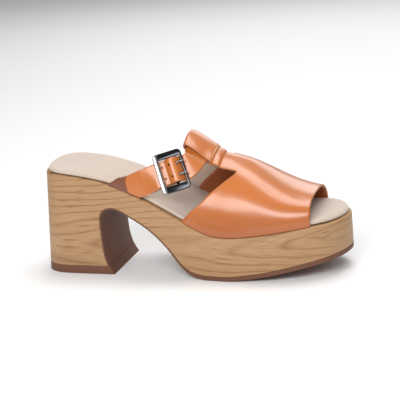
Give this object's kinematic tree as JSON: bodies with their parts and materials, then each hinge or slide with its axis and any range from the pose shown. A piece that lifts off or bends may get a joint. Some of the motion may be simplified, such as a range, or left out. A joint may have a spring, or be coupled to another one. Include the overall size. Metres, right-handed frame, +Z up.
{
  "type": "platform clog sandal",
  "caption": "Open-toe platform clog sandal, right foot: wooden sole with block heel and arched gap, padded footbed, wide leather vamp with a T-bar looped round a buckled instep strap.",
  "frame": {"origin": "centre of the shoe's footprint box, on the floor under the sole", "axes": "+X from the heel to the toe, +Y to the wearer's left (the inner side of this right shoe), +Z up"},
  "size_m": [0.25, 0.085, 0.1092],
  "materials": {
    "wood": "satin",
    "rubber": "matte",
    "suede": "napped",
    "leather": "semi-gloss",
    "metal": "dark polished"
  },
  "bodies": {
    "root": {"sole_block": "wood", "outsole": "rubber", "heel_lift": "rubber", "footbed": "suede", "vamp": "leather", "instep_strap": "leather", "buckle_strap": "leather", "buckle_frame": "metal", "prong_upper": "metal", "prong_lower": "metal"}
  },
  "joints": []
}
